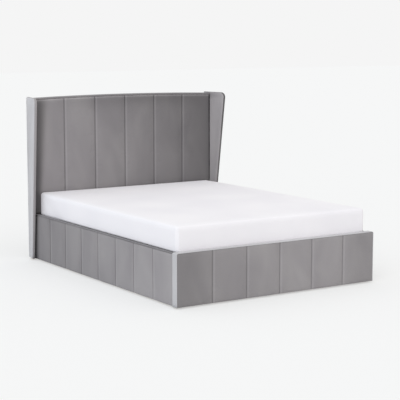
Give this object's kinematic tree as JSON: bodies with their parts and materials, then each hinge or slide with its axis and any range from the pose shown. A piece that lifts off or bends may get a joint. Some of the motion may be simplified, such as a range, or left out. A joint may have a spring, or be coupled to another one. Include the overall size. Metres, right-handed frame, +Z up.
{
  "type": "ottoman bed",
  "caption": "Double ottoman bed with channelled velvet headboard between splayed wings, padded rails and a foot-end lift-up slatted platform with gas struts over a storage base.",
  "frame": {"origin": "on the floor, at the middle of the bed's overall length and width", "axes": "+X to the right seen from the foot of the bed, +Y towards the headboard, +Z up"},
  "size_m": [1.7028, 2.14, 1.24],
  "materials": {
    "mattress_cloth": "matte",
    "velvet": "matte",
    "velvet_light": "matte",
    "back_cloth": "matte",
    "webbing": "matte",
    "board": "matte",
    "timber": "matte",
    "slat_wood": "satin",
    "floor_board": "matte",
    "steel_black": "satin",
    "steel_bright": "satin",
    "chrome_rod": "polished",
    "plastic_black": "matte"
  },
  "bodies": {
    "base": {"headboard_pad": "velvet", "headboard_border": "velvet", "headboard_board": "board", "headboard_posts": "timber", "headboard_crossbars": "timber", "headboard_back": "back_cloth", "wing_board_left": "board", "wing_board_right": "board", "wing_cover_left": "velvet_light", "wing_cover_right": "velvet_light", "wing_bolts": "steel_black", "footboard_pad": "velvet", "footboard_board": "board", "footboard_wrap": "velvet_light", "rail_board_left": "board", "rail_board_right": "board", "rail_pad_left": "velvet", "rail_pad_right": "velvet", "rail_cap_left": "velvet", "rail_cap_right": "velvet", "corner_brackets": "steel_bright", "bracket_bolts": "steel_black", "plate_screws": "steel_black", "rest_ledges": "timber", "foot_ledges": "timber", "floor_panels": "floor_board", "floor_bearers": "timber", "glides": "plastic_black", "base_plate_left": "steel_black", "base_plate_right": "steel_black", "base_pins_left": "steel_bright", "base_pins_right": "steel_bright"},
    "lift_arm_left": {"lift_arm_left": "steel_black"},
    "stay_link_left": {"stay_link_left": "steel_black"},
    "strut_cylinder_left": {"strut_cylinder_left": "steel_black"},
    "strut_rod_left": {"strut_rod_left": "chrome_rod"},
    "lift_arm_right": {"lift_arm_right": "steel_black"},
    "stay_link_right": {"stay_link_right": "steel_black"},
    "strut_cylinder_right": {"strut_cylinder_right": "steel_black"},
    "strut_rod_right": {"strut_rod_right": "chrome_rod"},
    "platform": {"mattress": "mattress_cloth", "platform_bracket_left": "steel_black", "platform_bracket_right": "steel_black", "platform_pins": "steel_bright", "side_tube_left": "steel_black", "side_tube_right": "steel_black", "foot_tube": "steel_black", "head_tube": "steel_black", "middle_tube": "steel_black", "tube_plugs": "plastic_black", "slats_left": "slat_wood", "slats_right": "slat_wood", "side_holders": "plastic_black", "middle_holders": "plastic_black", "pull_strap": "webbing"}
  },
  "joints": [
    {"name": "lift", "type": "hinge", "parent": "base", "child": "lift_arm_right", "pos_m": [0.7095, -0.052, 0.07], "axis": [1, 0, 0], "range_deg": [0, 39.5]},
    {"name": "platform_tilt", "type": "hinge", "parent": "lift_arm_right", "child": "platform", "pos_m": [0.7095, 0.377, 0.205], "axis": [1, 0, 0], "range_deg": [-77, 0]},
    {"name": "lift_arm_left_turn", "type": "hinge", "parent": "base", "child": "lift_arm_left", "pos_m": [-0.7095, -0.052, 0.07], "axis": [1, 0, 0], "range_deg": [0, 40]},
    {"name": "stay_link_left_turn", "type": "hinge", "parent": "base", "child": "stay_link_left", "pos_m": [-0.7235, 0.13, 0.187], "axis": [1, 0, 0], "range_deg": [0, 52.5]},
    {"name": "strut_foot_left_turn", "type": "hinge", "parent": "base", "child": "strut_cylinder_left", "pos_m": [-0.737, 0.24228, 0.04631], "axis": [1, 0, 0], "range_deg": [0, 26.5]},
    {"name": "strut_top_left_turn", "type": "hinge", "parent": "stay_link_left", "child": "strut_rod_left", "pos_m": [-0.737, 0.30567, 0.22624], "axis": [1, 0, 0], "range_deg": [-26.5, 0]},
    {"name": "stay_link_right_turn", "type": "hinge", "parent": "base", "child": "stay_link_right", "pos_m": [0.7235, 0.13, 0.187], "axis": [1, 0, 0], "range_deg": [0, 52.5]},
    {"name": "strut_foot_right_turn", "type": "hinge", "parent": "base", "child": "strut_cylinder_right", "pos_m": [0.737, 0.24228, 0.04631], "axis": [1, 0, 0], "range_deg": [0, 26.5]},
    {"name": "strut_top_right_turn", "type": "hinge", "parent": "stay_link_right", "child": "strut_rod_right", "pos_m": [0.737, 0.30567, 0.22624], "axis": [1, 0, 0], "range_deg": [-26.5, 0]}
  ],
  "couplings": [
    {"joint": "platform_tilt", "follows": "lift", "ratio": -1.9419},
    {"joint": "lift_arm_left_turn", "follows": "lift", "ratio": 1},
    {"joint": "stay_link_left_turn", "follows": "lift", "ratio": 1.3191},
    {"joint": "strut_foot_left_turn", "follows": "lift", "ratio": 0.65955},
    {"joint": "strut_top_left_turn", "follows": "lift", "ratio": -0.65955},
    {"joint": "stay_link_right_turn", "follows": "lift", "ratio": 1.3191},
    {"joint": "strut_foot_right_turn", "follows": "lift", "ratio": 0.65955},
    {"joint": "strut_top_right_turn", "follows": "lift", "ratio": -0.65955}
  ]
}
